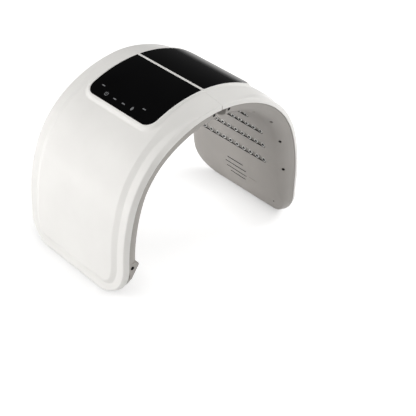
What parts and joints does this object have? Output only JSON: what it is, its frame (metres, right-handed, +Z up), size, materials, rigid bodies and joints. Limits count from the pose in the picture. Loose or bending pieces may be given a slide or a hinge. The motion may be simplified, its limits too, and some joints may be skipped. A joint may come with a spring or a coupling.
{
  "type": "folding light therapy mask",
  "caption": "Folding arch of two hinged shells that stands over a face and shines rows of small lamps on it, with a touch panel on top.",
  "frame": {"origin": "on the ground midway between the two feet and midway between front and back, with the arch open", "axes": "+X towards the right shell across the arch, -Y to the front, where the power socket is, +Z up"},
  "size_m": [0.3874, 0.246, 0.2956],
  "materials": {
    "white_shell": "pearl satin",
    "grey_inner_shell": "semi-gloss",
    "black_gloss_panel": "high gloss",
    "circuit_board": "solder mask",
    "led_lens": "clear dome",
    "screw_steel": "black oxide",
    "hinge_grey": "fine satin",
    "pin_steel": "ground",
    "hinge_sleeve_dark": "satin",
    "hinge_black": "satin",
    "socket_black": "moulded",
    "wire_sheath": "matte",
    "component_black": "matte"
  },
  "bodies": {
    "left_half": {"left_outer_cover": "white_shell", "left_inner_cover": "grey_inner_shell", "left_control_panel": "black_gloss_panel", "touch_sensor_board": "circuit_board", "main_control_board": "circuit_board", "processor_chip": "component_black", "buzzer": "component_black", "left_led_board": "circuit_board", "left_leds": "led_lens", "left_cover_screws": "screw_steel", "left_hinge_leaf": "hinge_grey", "left_hinge_screws": "screw_steel", "hinge_pin": "pin_steel", "front_hinge_sleeve": "hinge_sleeve_dark", "rear_hinge_sleeve": "hinge_sleeve_dark", "front_hinge_cap": "hinge_black", "rear_hinge_cap": "hinge_black", "dc_power_jack": "socket_black", "left_wire_harness": "wire_sheath", "left_hinge_bush": "hinge_black"},
    "right_half": {"right_outer_cover": "white_shell", "right_inner_cover": "grey_inner_shell", "right_panel": "black_gloss_panel", "right_led_board": "circuit_board", "right_leds": "led_lens", "right_cover_screws": "screw_steel", "right_hinge_leaf": "hinge_grey", "right_hinge_screws": "screw_steel", "led_driver_board": "circuit_board", "driver_coil": "component_black", "right_wire_harness": "wire_sheath", "right_hinge_bush": "hinge_black"}
  },
  "joints": [
    {"name": "fold", "type": "hinge", "parent": "left_half", "child": "right_half", "pos_m": [0, 0, 0.26842], "axis": [0, 1, 0], "range_deg": [0, 65]}
  ]
}
